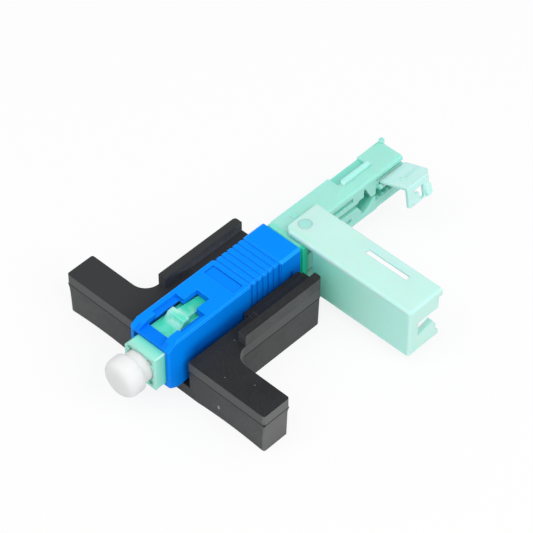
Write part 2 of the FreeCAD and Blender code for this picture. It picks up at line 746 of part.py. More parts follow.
def make_tail_body():
    """The rear body: splice barrel, collar, pivot block and the open tail with its cable holder."""
    piece = Piece("tail_body")
    right = tail_right
    web_inner = tail_left + tail_web
    barrel = rectangle(-frame_half_width, frame_half_width, -barrel_half_height, barrel_half_height)
    piece.add("Y", frame_rear, collar_front, barrel)
    piece.add("Y", frame_rear - spigot_length, frame_rear + overlap,
              circle(0, 0, flange_radius + flange_bore_clearance - spigot_clearance))
    collar = rectangle(-collar_width / 2, collar_width / 2, tail_bottom, tail_top)
    piece.add("Y", collar_front, tail_root, collar)
    piece.add("Y", tail_root - overlap, tail_end, rectangle(tail_left, right, tail_bottom, tail_top))
    block_right = pivot_x + pivot_radius + pivot_wall
    piece.add("Z", tail_bottom, tail_top,
              rectangle(web_inner, block_right, tail_root - overlap, pivot_block_rear))
    boss = circle(pivot_x, pivot_y, pivot_radius)
    piece.add("Z", tail_top - overlap, lever_top - pivot_inset, boss)
    piece.add("Z", lever_bottom + pivot_inset, tail_bottom + overlap, boss)

    cavity_half = splice_half_width + splice_clearance + clamp_wall + splice_clearance
    cavity_top = splice_half_height + splice_clearance + clamp_wall + splice_clearance
    piece.cut("Y", splice_front - barrel_end_wall / 2, splice_rear + barrel_end_wall / 2,
              rectangle(-cavity_half, cavity_half, -barrel_half_height - beyond, cavity_top))
    piece.cut("Y", frame_rear - spigot_length - beyond, splice_front, circle(0, 0, spigot_bore))
    guide_front = splice_rear + barrel_end_wall
    piece.cut("Y", guide_front, guide_front + guide_length + beyond,
              circle(0, 0, guide_radius + guide_clearance))
    piece.cut("Y", splice_rear, guide_front + beyond, circle(0, 0, guide_mouth_radius))

    run = rectangle(guide_front + guide_length, entry_front + beyond, run_bottom, run_top)
    piece.cut("X", right - run_depth, block_right + beyond, run)
    piece.cut("X", right - slit_depth, right + beyond,
              rectangle(pivot_block_rear + slit_setback, slit_rear, slit_bottom, slit_top))
    piece.cut("X", right - slit_depth / 2, right + beyond,
              rectangle(pocket_front, pocket_front + pocket_length, line_level,
                        line_level + pocket_height))
    half_neck = entry_neck / 2
    middle = (trough_top + trough_bottom) / 2
    shelf_front = entry_front + entry_slope
    shelf_rear = shelf_front + entry_shelf
    throat = holder_front - entry_throat
    entry = path((entry_front, run_bottom), (entry_front, run_top),
                 (shelf_front, run_top + entry_rise), (shelf_rear, run_top + entry_rise),
                 (shelf_rear, slit_top), (shelf_rear + entry_rise, slit_top),
                 (throat - entry_throat, middle + half_neck + overlap), (throat, middle + half_neck),
                 (holder_front + overlap, middle + half_neck),
                 (holder_front + overlap, middle - half_neck), (throat, middle - half_neck),
                 (throat - entry_flare, middle - half_neck - entry_flare),
                 (shelf_rear + entry_rise, line_level), (shelf_front + entry_flare, line_level),
                 (shelf_front + entry_flare, line_level + entry_flare))
    piece.cut("X", web_inner, right + beyond, entry)
    piece.cut("X", web_inner, right + beyond,
              rectangle(holder_front, tail_end + beyond, trough_bottom, trough_top))
    piece.cut("X", right - shade_gap_depth, right + beyond,
              rectangle(holder_front, tail_end + beyond, shade_gap_bottom, shade_gap_top))
    piece.cut("X", right - line_depth, right + beyond,
              rectangle(holder_front + line_setback, tail_end - line_end,
                        line_level - line_height / 2, line_level + line_height / 2))
    piece.cut("Y", pivot_block_rear, tail_end + beyond,
              path((right - tail_edge, tail_top), (right, tail_top - tail_edge),
                   (right + tail_edge, tail_top - tail_edge), (right + tail_edge, tail_top)))
    tooth_start = holder_front + tooth_setback
    tooth_tip = tooth_start + tooth_width / 2
    tooth_end = tooth_start + tooth_width
    low = path((tooth_start, trough_bottom - overlap), (tooth_end, trough_bottom - overlap),
               (tooth_tip, trough_bottom + tooth_height))
    high = path((tooth_start, trough_top + overlap), (tooth_end, trough_top + overlap),
                (tooth_tip, trough_top - tooth_height))
    lower_tooth = piece.add("X", web_inner - overlap, right - tooth_inset, low)
    upper_tooth = piece.add("X", web_inner - overlap, right - tooth_inset, high)
    piece.repeat("Y_Axis", [lower_tooth, upper_tooth], tooth_pitch, tooth_count)

    floor_level = tail_top - top_recess_depth
    rib_rear = top_recess_front + top_recess_length
    piece.cut("Z", floor_level, tail_top + beyond,
              rectangle(tail_left - beyond, latch_rib_left, top_recess_front, rib_rear))
    rib_front = rib_rear - latch_rib_length
    rib_right = latch_rib_left + latch_rib_width
    piece.add("Z", floor_level - overlap, tail_top + latch_rib_height,
              path((latch_rib_left, rib_front + latch_rib_bevel),
                   (latch_rib_left + latch_rib_bevel, rib_front),
                   (rib_right - latch_rib_bevel, rib_front), (rib_right, rib_front + latch_rib_bevel),
                   (rib_right, rib_rear), (latch_rib_left, rib_rear)))
    nub_left = latch_rib_left - latch_rib_width
    nub_front = pivot_y + stop_nub_setback
    piece.add("Z", tail_top - overlap, tail_top + stop_nub_height,
              rectangle(nub_left, nub_left + stop_nub_width, nub_front, nub_front + stop_nub_length))
    post_top = tail_top + end_post_rise
    piece.add("Z", post_top - end_post_height, post_top,
              circle(tail_left + end_post_radius, tail_end, end_post_radius))

    foot_x = lid_axis_x + lid_above - skirt_drop - skirt_clearance
    face_x = right + beyond
    root_x = lid_axis_x + lid_above
    root_z = lid_axis_z - lid_reach + skirt_wall + overlap
    piece.cut("Y", lid_front - skirt_clearance, tail_end + beyond,
              path((foot_x, tail_bottom - beyond), (foot_x, root_z + (root_x - foot_x) * skirt_lean),
                   (face_x, root_z + (root_x - face_x) * skirt_lean), (face_x, tail_bottom - beyond)))

    lug = circle(lid_axis_x, lid_axis_z, lug_radius)
    arm = rectangle(right - lug_root, lid_axis_x, lid_axis_z - lug_radius, lid_axis_z + lug_radius / 2)
    pin = circle(lid_axis_x, lid_axis_z, pin_radius)
    front_face = lid_front + barrel_setback - lug_clearance
    rear_face = tail_end - lug_thickness
    piece.add("Y", front_face - lug_thickness, front_face, lug)
    piece.add("Y", front_face - lug_thickness, front_face, arm)
    piece.add("Y", front_face - overlap, front_face + pin_length, pin)
    piece.add("Y", rear_face, tail_end, lug)
    piece.add("Y", rear_face, tail_end, arm)
    piece.add("Y", rear_face - pin_length, rear_face + overlap, pin)


def make_holder_lid():
    """The lid over the cable holder, modelled flat about its hinge and then swung open."""
    piece = Piece("holder_lid")
    barrel_front = lid_front + barrel_setback
    barrel_rear = tail_end - lug_thickness - lug_clearance
    lid_rear = lid_front + lid_length
    under = lid_above - lid_thickness
    piece.add("Z", under, lid_above,
              path((-lid_inner, lid_front), (lid_reach, lid_front), (lid_reach, lid_rear - lid_corner),
                   (lid_reach - lid_corner, lid_rear), (lid_inner_corner - lid_inner, lid_rear),
                   (-lid_inner, lid_rear - lid_inner_corner)))
    piece.add("Y", barrel_front, barrel_rear, circle(0, 0, barrel_radius))
    piece.add("Z", 0, under + lid_thickness / 2,
              rectangle(-lid_inner, barrel_radius, barrel_front, barrel_rear))

    foot = lid_above - skirt_drop
    foot_shift = skirt_drop * skirt_lean
    skirt_inner = lid_reach - skirt_wall
    skirt_rear = lid_rear - skirt_end
    skirt = path((skirt_inner, under + lid_thickness / 2), (skirt_inner, under),
                 (skirt_inner - foot_shift, foot), (lid_reach - foot_shift, foot),
                 (lid_reach, under), (lid_reach, under + lid_thickness / 2))
    piece.add("Y", lid_front, skirt_rear, skirt)

    def foot_corner(a, b):
        low = near(a.z, foot.value) and near(b.z, foot.value)
        return low and near(a.y, lid_front.value) and near(b.y, lid_front.value)

    piece.dress("Fillet", skirt_round, foot_corner)
    heel_low = heel_top + heel_height
    heel_start = lid_front + heel_front
    heel_end = heel_start + heel_length
    heel_root = lid_reach - heel_low * skirt_lean
    piece.add("X", heel_root - skirt_root, heel_root + heel_thickness,
              path((heel_start, lid_above - heel_low), (heel_end - heel_bevel, lid_above - heel_low),
                   (heel_end, lid_above - heel_low + heel_bevel),
                   (heel_end, lid_above - heel_top - heel_bevel),
                   (heel_end - heel_bevel, lid_above - heel_top), (heel_start, lid_above - heel_top)))
    toe_low = foot + skirt_rise
    toe_root = lid_reach - foot_shift
    piece.add("X", toe_root - skirt_root, toe_root + toe_thickness,
              path((lid_front + toe_front, toe_low), (lid_front + toe_rear, toe_low),
                   (lid_front + toe_rear, toe_low + toe_height / 2),
                   (lid_front + toe_front + toe_slope * 2, toe_low + toe_height),
                   (lid_front + toe_front + toe_slope, toe_low + toe_height)))
    window_front = lid_front + skirt_window_front
    window_rear = window_front + skirt_window_length
    window_top = lid_above - skirt_window_top
    hook_rear = window_front + skirt_hook_length
    hook_top = window_top - skirt_window_height + skirt_hook_height
    piece.cut("X", skirt_inner - foot_shift - beyond, lid_reach + beyond,
              path((window_front, hook_top), (hook_rear, hook_top),
                   (hook_rear + skirt_rise, window_top - skirt_window_height),
                   (window_rear, window_top - skirt_window_height), (window_rear, window_top),
                   (window_front, window_top)))

    tip_y = lid_front + arrow_tip
    half_shaft = arrow_width / 2
    half_head = arrow_head / 2
    neck_y = tip_y + half_head
    shaft_end = tip_y + arrow_length
    piece.add("Z", lid_above - overlap, lid_above + arrow_height,
              path((arrow_place, tip_y), (arrow_place + half_head, neck_y),
                   (arrow_place + half_shaft, neck_y), (arrow_place + half_shaft, shaft_end),
                   (arrow_place - half_shaft, shaft_end), (arrow_place - half_shaft, neck_y),
                   (arrow_place - half_head, neck_y)))
    bore = circle(0, 0, pin_radius + pin_clearance)
    piece.cut("Y", barrel_front - beyond, barrel_front + pin_length, bore)
    piece.cut("Y", barrel_rear - pin_length, barrel_rear + beyond, bore)
    turned = FreeCAD.Rotation(FreeCAD.Vector(0, -1, 0), lid_open_angle.value)
    piece.body.Placement = FreeCAD.Placement(FreeCAD.Vector(0, 0, 0), turned)
    bind(piece.body, "Placement.Base.x", lid_axis_x)
    bind(piece.body, "Placement.Base.z", lid_axis_z)
    bind(piece.body, "Placement.Rotation.Angle", lid_open_angle)


def make_locking_lever():
    """The swing-out lever: two plates, a back wall and an end frame that lets the cable out."""
    piece = Piece("locking_lever")
    right = lever_left + lever_length
    plate_under = tail_top + lever_skin_clearance
    floor_top = tail_bottom - lever_under_clearance
    top_plate = path((lever_left, lever_front + lever_corner), (lever_left + lever_corner, lever_front),
                     (right, lever_front), (right, lever_rear), (lever_left, lever_rear))
    piece.add("Z", plate_under, lever_top, top_plate)
    piece.add("Z", lever_bottom, lever_top,
              rectangle(lever_wall_left, right, lever_front, lever_front + lever_wall))
    low_plate = path((lever_left, lever_front + lever_corner), (lever_left + lever_corner, lever_front),
                     (right, lever_front), (right, lever_bottom_rear), (lever_left, lever_bottom_rear))
    piece.add("Z", lever_bottom, floor_top, low_plate)
    jamb = lever_front + lever_end_jamb
    lip = lever_top - lever_lip_height
    end_frame = path((lever_front, lever_bottom), (lever_bottom_rear, lever_bottom),
                     (lever_bottom_rear, floor_top + lever_floor_lip), (lever_arm_rear, lever_arm_foot),
                     (lever_arm_rear, lever_arm_top),
                     (lever_arm_rear - lever_arm_bevel, lever_arm_crest), (jamb, cable_window_bottom),
                     (jamb, cable_window_top), (lever_end_rear, cable_window_top),
                     (lever_end_rear, lip), (lever_rear, lip), (lever_rear, lever_top),
                     (lever_front, lever_top))
    piece.add("X", right - lever_end_wall, right, end_frame)

    rib_rear = top_recess_front + top_recess_length
    rib_front = rib_rear - latch_rib_length
    slot_front = pivot_y + pivot_x - latch_rib_left - latch_rib_width - lever_slot_clearance
    slot_rear = pivot_y + pivot_x - latch_rib_left + lever_slot_clearance
    slot_left = pivot_x + rib_front - pivot_y - lever_slot_clearance
    slot_right = pivot_x + rib_rear - pivot_y + lever_slot_extra
    piece.cut("Z", plate_under - beyond, lever_top + beyond,
              rectangle(slot_left, slot_right, slot_front, slot_rear))
    piece.cut("Z", plate_under - beyond, lever_top - lever_slot_relief,
              rectangle(slot_left - lever_relief_margin, slot_right, slot_front, lever_rear + beyond))
    post_reach = end_post_radius + post_relief_margin
    post_x = pivot_x + tail_end - pivot_y
    post_y = pivot_y + pivot_x - tail_left - end_post_radius
    piece.cut("Z", plate_under - beyond, lever_top - lever_slot_relief,
              rectangle(post_x - post_reach, post_x + post_reach, post_y - post_reach,
                        lever_rear + beyond))
    hole = circle(pivot_x, pivot_y, pivot_radius + pivot_clearance)
    piece.cut("Z", lever_bottom - beyond, lever_top + beyond, hole)
    heel_left = pivot_x + lid_front - pivot_y - heel_relief_margin
    heel_right = pivot_x + lid_front + lid_length - pivot_y - heel_relief_rear
    piece.cut("Z", lever_bottom - beyond, plate_under - overlap,
              rectangle(heel_left, heel_right, lever_front + lever_wall + heel_relief_wall,
                        lever_rear + beyond))


def make_dust_cap():
    """The push-on cap over the ferrule."""
    piece = Piece("dust_cap")
    piece.turn("Revolution", (cap_stem_rear, 0), (cap_stem_rear, cap_stem_radius),
               (cap_head_rear, cap_stem_radius), (cap_head_rear, cap_head_radius),
               (cap_head_front, cap_head_radius), (cap_head_front, 0))
    doc.recompute()
    face = cap_head_front.value
    edges = []
    for number, edge in enumerate(piece.body.Tip.Shape.Edges, start=1):
        if near(edge.BoundBox.YMin, face) and near(edge.BoundBox.YMax, face):
            edges.append("Edge" + str(number))
    base = piece.body.Tip
    fillet = piece.body.newObject("PartDesign::Fillet", "dust_cap_fillet")
    fillet.Base = (base, edges)
    bind(fillet, "Radius", cap_round)
    piece.body.Tip = fillet
    piece.cut("Y", ferrule_front - cap_floor_gap, cap_stem_rear + beyond,
              circle(0, 0, ferrule_radius + cap_bore_clearance))


def make_opening_tool():
    """The black T-handled tool that cradles the plug and wedges the splice open."""
    piece = Piece("opening_tool")

    def plan(inset):
        end = tool_half_span - inset
        side = rail_outer - inset
        front = wing_front + inset
        shoulder = wing_rear - inset
        rear = rail_rear - inset
        return path((-end, front), (end, front), (end, shoulder), (side, shoulder), (side, rear),
                    (-side, rear), (-side, shoulder), (-end, shoulder))

    piece.add("Z", tool_split, wing_top, plan(as_size(0)))
    lower = piece.add("Z", tool_split, tool_split + beyond, plan(tool_step))
    lower.Reversed = True
    bind(lower, "Length", tool_split - tool_base)
    bind(lower, "TaperAngle", -tool_draft)

    def corner(place_x, place_y):
        near_enough = (tool_step * 4).value

        def wanted(a, b):
            upright = abs(a.z - b.z) > near_enough
            at_x = max(abs(abs(a.x) - place_x.value), abs(abs(b.x) - place_x.value)) < near_enough
            at_y = max(abs(a.y - place_y.value), abs(b.y - place_y.value)) < near_enough
            return upright and at_x and at_y
        return wanted

    piece.dress("Fillet", web_fillet, corner(rail_outer, wing_rear))
    rail_inner = rail_outer - rail_wall
    step_rear = ledge_front + ledge_step_length
    for side in (-1, 1):
        near_side, far_side = sorted((rail_inner * side, rail_outer * side), key=measure)
        piece.add("Z", wing_top - overlap, rail_top, rectangle(near_side, far_side, rail_front, rail_rear))
        near_side, far_side = sorted((slot_half_width * side, rail_outer * side), key=measure)
        piece.add("Z", wing_top - overlap, ledge_step_top,
                  rectangle(near_side, far_side, ledge_front, rail_rear))
        piece.add("Z", ledge_step_top - overlap, ledge_top,
                  rectangle(near_side, far_side, step_rear, rail_rear))
    cradle = -half_height - cradle_clearance
    piece.cut("Z", cradle, wing_top + beyond,
              rectangle(-slot_half_width, slot_half_width, wing_front - beyond, ledge_front))
    ledge_inner = half_width + ledge_clearance
    piece.cut("Z", cradle, rail_top + beyond,
              rectangle(-ledge_inner, ledge_inner, ledge_front - overlap, rail_rear + beyond))
    piece.dress("Fillet", tool_corner, corner(rail_outer, rail_rear))
    chord = arch_outer - arch_inner
    radius = (chord * chord / 4 + arch_rise * arch_rise) / (arch_rise * 2)
    middle = (arch_outer + arch_inner) / 2
    arch = piece.cut("Y", wing_front - beyond, wing_rear + web_fillet + beyond,
                     circle(middle, tool_base + arch_rise - radius, radius))
    piece.mirror("YZ_Plane", [arch])
    half_tip = wedge_tip / 2
    shoulder_z = wedge_top - wedge_point
    wedge = path((-wedge_base / 2, cradle - overlap), (wedge_base / 2, cradle - overlap),
                 (half_tip + wedge_shoulder, shoulder_z), (half_tip, wedge_top),
                 (-half_tip, wedge_top), (-half_tip - wedge_shoulder, shoulder_z))
    for start in (wedge_front, wedge_rear):
        piece.add("Y", start, start + wedge_length, wedge)


make_opening_tool()
make_grip_housing()
make_plug_frame()
make_ferrule_group()
make_splice()
make_tail_body()
make_holder_lid()
make_locking_lever()
make_dust_cap()
doc.recompute()

for item in doc.Objects:
    if "Invalid" in item.State or "Error" in item.State:
        raise RuntimeError(item.Name + " failed: " + str(item.State))
    if item.TypeId in ("PartDesign::Pocket", "PartDesign::Pad") and item.BaseFeature is not None:
        change = item.Shape.Volume - item.BaseFeature.Shape.Volume
        if (change > -1e-6) == (item.TypeId == "PartDesign::Pocket"):
            raise RuntimeError(item.Name + " changed the volume by " + str(change))
for body in bodies:
    shape = body.Shape
    if shape.isNull() or not shape.isValid() or len(shape.Solids) != 1:
        raise RuntimeError(body.Label + " isn't one valid solid")

os.makedirs("parts", exist_ok=True)
for body in bodies:
    body.Shape.exportStep(os.path.join("parts", body.Label + ".step"))
    box = body.Shape.BoundBox
    print("%-20s %8.2f mm3  x %.2f..%.2f  y %.2f..%.2f  z %.2f..%.2f" % (
        body.Label, body.Shape.Volume, box.XMin, box.XMax, box.YMin, box.YMax, box.ZMin, box.ZMax))
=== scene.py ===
# %% [markdown]
# # A field-fit SC fibre connector in its opening tool
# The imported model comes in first. Its solids already have the real sizes and the real joints,
# so Blender's work is the finish: softened moulded edges, small surface detail, materials,
# light and the camera.

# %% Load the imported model
import math
import bmesh
import bpy
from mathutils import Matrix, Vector


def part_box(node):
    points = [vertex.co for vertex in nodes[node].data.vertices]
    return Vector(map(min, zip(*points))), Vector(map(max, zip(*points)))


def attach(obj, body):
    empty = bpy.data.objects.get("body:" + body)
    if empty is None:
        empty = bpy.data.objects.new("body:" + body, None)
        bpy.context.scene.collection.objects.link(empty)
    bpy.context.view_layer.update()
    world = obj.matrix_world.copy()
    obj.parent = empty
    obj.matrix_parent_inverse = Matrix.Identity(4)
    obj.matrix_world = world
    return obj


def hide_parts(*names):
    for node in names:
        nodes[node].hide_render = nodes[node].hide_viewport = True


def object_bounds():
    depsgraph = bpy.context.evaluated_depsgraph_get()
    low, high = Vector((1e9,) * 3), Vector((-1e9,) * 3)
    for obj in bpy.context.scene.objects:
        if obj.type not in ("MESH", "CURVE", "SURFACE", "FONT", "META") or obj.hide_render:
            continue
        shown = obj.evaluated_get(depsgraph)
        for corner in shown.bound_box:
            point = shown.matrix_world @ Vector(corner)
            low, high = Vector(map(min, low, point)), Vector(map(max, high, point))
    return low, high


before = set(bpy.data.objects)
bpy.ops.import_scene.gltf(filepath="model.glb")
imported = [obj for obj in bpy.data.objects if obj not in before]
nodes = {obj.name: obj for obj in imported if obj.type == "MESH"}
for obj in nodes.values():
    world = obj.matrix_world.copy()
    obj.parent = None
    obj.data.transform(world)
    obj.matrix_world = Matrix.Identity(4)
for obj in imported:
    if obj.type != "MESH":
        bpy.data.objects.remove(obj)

MM = 0.001
cad_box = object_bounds()
print("solids loaded:", len(nodes))

# %% [markdown]
# ## The camera
# The photograph was taken with a long lens from the plug's right, well above it. A long lens
# keeps the far end of the tail nearly as large as the near end. The direction, distance and
# focal length below were fitted to the plug's edges, so the picture can be compared line by line.

# %% Place the camera
aim = Vector((-0.28, 23.04, 0.0)) * MM
turn = math.radians(43.73)
rise = math.radians(46.62)
distance = 379.5 * MM
back = Vector((math.sin(turn) * math.cos(rise), -math.cos(turn) * math.cos(rise), math.sin(rise)))
lens = bpy.data.cameras.new("photo_lens")
lens.sensor_width = 36.0
lens.lens = 184.2
lens.clip_start = 0.01
lens.clip_end = 10.0
camera = bpy.data.objects.new("photo_camera", lens)
bpy.context.scene.collection.objects.link(camera)
camera.location = aim + back * distance
camera.rotation_euler = back.to_track_quat("Z", "Y").to_euler()
bpy.context.scene.camera = camera
print("camera stands", round(distance / MM), "mm from the plug")

# %% [markdown]
# ## Selecting one object
# The operators in `bpy.ops` work on whatever is selected, and the loaded solids all are. This
# helper clears the selection and makes a single object the active one, so that an operator
# reaches nothing else.

# %% Selection helper
def only(piece):
    """Select one object alone and make it the active one."""
    bpy.ops.object.select_all(action="DESELECT")
    piece.select_set(True)
    bpy.context.view_layer.objects.active = piece


# %% [markdown]
# ## Shader maths in plain Python
# A procedural material is a graph of nodes. Writing each Math node by hand is long and hard to
# read, so a small class wraps an output socket and turns `a * 0.3 + b` into the nodes that
# compute it. Every other node comes from one method that takes its type, settings and inputs.

# %% A wire that does maths
class Wire:
    """An output socket that can be used in a Python expression."""

    def __init__(self, socket):
        self.socket = socket
        self.tree = socket.id_data

    def maths(self, operation, first, second):
        node = self.tree.nodes.new("ShaderNodeMath")
        node.operation = operation
        for slot, value in zip(node.inputs, (first, second)):
            if isinstance(value, Wire):
                self.tree.links.new(value.socket, slot)
            else:
                slot.default_value = value
        return Wire(node.outputs[0])

    def __add__(self, other):
        return self.maths("ADD", self, other)

    def __radd__(self, other):
        return self.maths("ADD", other, self)

    def __sub__(self, other):
        return self.maths("SUBTRACT", self, other)

    def __rsub__(self, other):
        return self.maths("SUBTRACT", other, self)

    def __mul__(self, other):
        return self.maths("MULTIPLY", self, other)

    def __rmul__(self, other):
        return self.maths("MULTIPLY", other, self)

    def __mod__(self, other):
        return self.maths("FLOORED_MODULO", self, other)

    def __rmod__(self, other):
        return self.maths("FLOORED_MODULO", other, self)

    def size(self):
        return self.maths("ABSOLUTE", self, 0.0)

    def above(self, other):
        return self.maths("GREATER_THAN", self, other)

    def clamped(self):
        top = self.maths("MINIMUM", self, 1.0)
        return self.maths("MAXIMUM", top, 0.0)


# %% A finish
# A Mix node has sockets for numbers, vectors and colours side by side. These are its colour ones.
MIX_FACTOR, MIX_UNDER, MIX_OVER, MIX_RESULT = 0, 6, 7, 2


class Finish:
    """One material with a Principled shader and a short way to add nodes."""

    def __init__(self, name):
        self.material = bpy.data.materials.new(name)
        self.material.use_nodes = True
        self.tree = self.material.node_tree
        self.shader = self.tree.nodes["Principled BSDF"]
        self.place = self.add("ShaderNodeTexCoord", out="Object")
        print("finish:", name)

    def add(self, kind, settings=None, inputs=None, out=0):
        """Add one node, its settings first and then its sockets, and give one of its outputs."""
        node = self.tree.nodes.new(kind)
        for key, value in (settings or {}).items():
            setattr(node, key, value)
        for key, value in (inputs or {}).items():
            self.feed(node.inputs[key], value)
        return Wire(node.outputs[out])

    def feed(self, socket, value):
        if isinstance(value, Wire):
            self.tree.links.new(value.socket, socket)
        else:
            socket.default_value = value

    def set(self, **values):
        """Feed the shader's own sockets, with an underscore for each space in a name."""
        for key, value in values.items():
            self.feed(self.shader.inputs[key.replace("_", " ")], value)

    def noise(self, size_mm, detail=2.0, roughness=0.5):
        return self.add("ShaderNodeTexNoise", None,
                        {"Vector": self.place, "Scale": 1.0 / (size_mm * MM), "Detail": detail,
                         "Roughness": roughness}, out="Fac")

    def axis(self, letter):
        """One object coordinate in millimetres."""
        place = self.add("ShaderNodeSeparateXYZ", None, {"Vector": self.place}, out=letter)
        return place * (1.0 / MM)

    def axes(self):
        """All three object coordinates in millimetres."""
        return [self.axis(letter) for letter in "XYZ"]

    def blend(self, factor, under, over):
        """Two colours mixed: the first where the factor is 0, the second where it is 1."""
        return self.add("ShaderNodeMix", {"data_type": "RGBA"},
                        {MIX_FACTOR: factor, MIX_UNDER: under, MIX_OVER: over}, out=MIX_RESULT)

    def tint(self, mask, colour):
        """Lay another colour over the base where the mask is one."""
        under = Wire(self.shader.inputs["Base Color"].links[0].from_socket)
        self.set(Base_Color=self.blend(mask, under, tone(colour, 1.0)))


# %% Tones and masks
def tone(colour, gain):
    """The same colour a little lighter or darker, as a shader colour with alpha."""
    return tuple(min(1.0, part * gain) for part in colour) + (1.0,)


def ramp(value, start, end):
    """A mask that is 0 before start, 1 after end and even between them."""
    return ((value - start) * (1.0 / (end - start))).clamped()


def fall(value, start, end):
    """A mask that is 1 before start, 0 after end and even between them."""
    return 1.0 - ramp(value, start, end)


def band(value, low, high, soft=0.06):
    """A mask that is 1 between two places and falls to 0 just outside them."""
    return ramp(value, low - soft, low) * fall(value, high, high + soft)


# %% [markdown]
# ## Moulded plastic
# Every visible piece is injection moulded, but each plastic looks different. What they share is
# a fine grain copied from the mould, a faint cloudiness where the melt flowed, and a gloss that
# isn't quite even. One function makes that family, and its values set one plastic apart from
# the next.

# %% The moulded plastic family
flow_mm = 6.0
flow_in_cloud, grain_in_cloud = 0.75, 0.25
flow_in_sheen, grain_in_sheen = 0.10, 0.06
sheen_middle = 0.08
grain_strength = 0.35
soak_mm = 0.9
soak_colour = (0.25, 1.0, 0.8)


def moulded(name, colour, roughness, grain_mm, grain_depth, cloud=0.04, haze=0.0, gloss=0.5):
    """A plastic. The grain's width and depth are in mm, and haze is how far light soaks in."""
    finish = Finish(name)
    flow = finish.noise(flow_mm, detail=3.0)
    grain = finish.noise(grain_mm, detail=3.0, roughness=0.6)
    cloudy = finish.blend((flow * flow_in_cloud + grain * grain_in_cloud).clamped(),
                          tone(colour, 1.0 - cloud), tone(colour, 1.0 + cloud))
    uneven = flow * flow_in_sheen + grain * grain_in_sheen + (roughness - sheen_middle)
    bump = finish.add("ShaderNodeBump", None,
                      {"Height": grain, "Strength": grain_strength, "Distance": grain_depth * MM},
                      out="Normal")
    finish.set(Base_Color=cloudy, Roughness=uneven.clamped(), Specular_IOR_Level=gloss,
               Normal=bump)
    if haze > 0.0:
        finish.set(Subsurface_Weight=haze, Subsurface_Scale=soak_mm * MM,
                   Subsurface_Radius=soak_colour)
    return finish


# %% [markdown]
# ## The plastics of this connector
# The grip is a saturated blue with a satin sheen. The body is mint green and slightly cloudy,
# so light soaks into it a little; the lever is the same plastic, coloured paler. The cap is
# soft, milky and lets light through.
#
# On top of its family's look, each plastic changes with place: painted shade deepens its colour
# in grooves, recesses and gaps, and painted light makes its lit sides paler. Painting a texture by
# hand could do that too, but a mask made of object coordinates needs no image and stays sharp
# however near the camera comes. The numbers in a mask are places on the real object in mm, along
# X across the plug, Y towards its tail and Z up. Rounded edges get a finish of their own, paler
# as a painted highlight that on the tool also stands for wear, and with less grain.

# %% Blue grip plastic
blue_plastic = moulded("blue_grip_plastic", (0.0, 0.255, 1.0), roughness=0.42, grain_mm=0.35,
                       grain_depth=0.010, cloud=0.02, gloss=0.05)
blue_x, blue_y, blue_z = blue_plastic.axes()
groove_start, groove_pitch = 15.94, 1.07
# painted shade: the grip's grooves are a deeper blue
groove_shade = band((blue_y - groove_start) % groove_pitch, 0.05, 0.37, 0.08)
blue_plastic.tint(groove_shade * band(blue_y, 15.9, 21.75) * 0.45, (0.0, 0.13, 0.66))
# painted shade in the label recess, with a painted shadow darkest along its rim
recess = band(blue_x, -2.82, 2.82) * band(blue_y, 13.30, 15.15) * ramp(blue_z, 4.2, 4.3)
recess_middle = band(blue_x, -2.66, 2.66) * band(blue_y, 13.46, 14.99)
blue_plastic.tint(recess * 0.5, (0.0, 0.21, 0.90))
blue_plastic.tint(recess * (1.0 - recess_middle) * 0.7, (0.0, 0.10, 0.58))
# painted shadow low on the grip's sides, just above the tool's wings
tool_shadow = ramp(blue_x.size(), 3.3, 3.45) * fall(blue_z, 0.7, 2.2) * ramp(blue_y, 2.4, 5.0)
blue_plastic.tint(tool_shadow * 0.6, (0.0, 0.05, 0.40))
# painted shade on the faces deep inside the grip's window
window_shade = band(blue_x, -2.85, 2.85) * fall(blue_y, 7.85, 7.9) * fall(blue_z, 4.0, 4.2)
blue_plastic.tint(window_shade * ramp(blue_z, 2.0, 2.2) * 0.6, (0.0, 0.16, 0.80))
# the rounded edges are a paler blue, a painted highlight; on the slopes at the back it is less
# pale
blue_edge = moulded("blue_grip_edge", (0.03, 0.52, 1.0), roughness=0.36, grain_mm=0.35,
                    grain_depth=0.004, cloud=0.02, gloss=0.2)
blue_edge.tint(ramp(blue_edge.axis("Y"), 21.9, 22.1), (0.0, 0.34, 1.0))

# %% Mint rear body, with painted shade in its hollows and painted light on its lit side
milky = {"grain_mm": 0.30, "haze": 0.8, "gloss": 0.3}
mint_plastic = moulded("mint_body_plastic", (0.37, 0.77, 0.68), roughness=0.42,
                       grain_depth=0.005, **milky)
mint_x, mint_y, mint_z = mint_plastic.axes()
# painted shade in the fibre holder's deep trough
holder_shade = band(mint_z, -2.3, 2.45) * band(mint_x, -2.7, 0.1, 0.7) * ramp(mint_y, 31.0, 33.0)
mint_plastic.tint(holder_shade * 0.8, (0.12, 0.66, 0.52))
# painted light: the body's right side, where the light falls, is paler
lit_side = ramp(mint_x, 2.3, 2.45) * ramp(mint_y, 28.0, 29.0)
mint_plastic.tint(lit_side * 0.8, (0.46, 0.86, 0.77))
# painted shade: the collar just behind the grip is a deeper green, deepest on its right side
collar_shade = fall(mint_y, 27.2, 27.6)
mint_plastic.tint(collar_shade * 0.8, (0.22, 0.78, 0.58))
mint_plastic.tint(collar_shade * ramp(mint_x, 2.6, 2.9), (0.02, 0.70, 0.42))
# painted shade in the narrow gap between the collar and the lever
collar_gap_shade = band(mint_y, 27.3, 28.6, 0.6) * ramp(mint_x, 1.4, 2.1) * fall(mint_z, 3.2, 3.4)
mint_plastic.tint(collar_gap_shade, (0.02, 0.58, 0.36))
# painted light on the top of the rib
rib_light = band(mint_x, -1.6, -0.9) * band(mint_y, 39.4, 45.1) * ramp(mint_z, 3.6, 3.7)
mint_plastic.tint(rib_light, (0.47, 0.87, 0.79))
